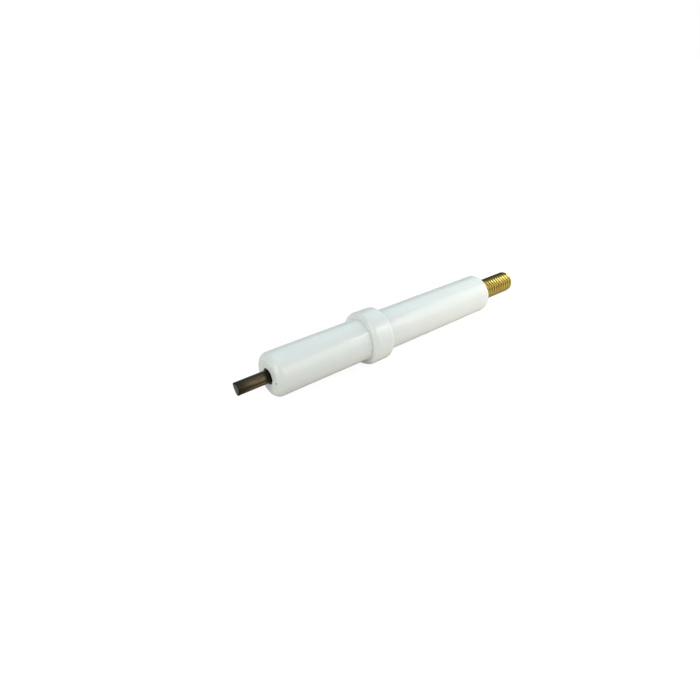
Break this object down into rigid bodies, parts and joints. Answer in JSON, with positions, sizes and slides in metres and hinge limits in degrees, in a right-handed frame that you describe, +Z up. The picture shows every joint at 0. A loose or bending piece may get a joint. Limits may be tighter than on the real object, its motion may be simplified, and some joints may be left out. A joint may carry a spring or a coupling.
{
  "type": "ignition electrode",
  "caption": "Straight glazed ceramic insulator with a collar, a heat-resistant spark rod out of its front end and a threaded brass terminal stud out of its rear end.",
  "frame": {"origin": "on the electrode's axis, in the plane of the collar's front seat face", "axes": "+X along the axis towards the terminal stud, so the spark rod points to -X; +Z is up with the electrode lying level"},
  "size_m": [0.061, 0.009, 0.009],
  "materials": {
    "glazed_ceramic": "gloss",
    "oxidised_alloy": "satin",
    "brass": "satin",
    "cement": "matte"
  },
  "bodies": {
    "root": {"ceramic_insulator": "glazed_ceramic", "spark_rod": "oxidised_alloy", "terminal_stud": "brass", "front_cement": "cement", "rear_cement": "cement"}
  },
  "joints": []
}
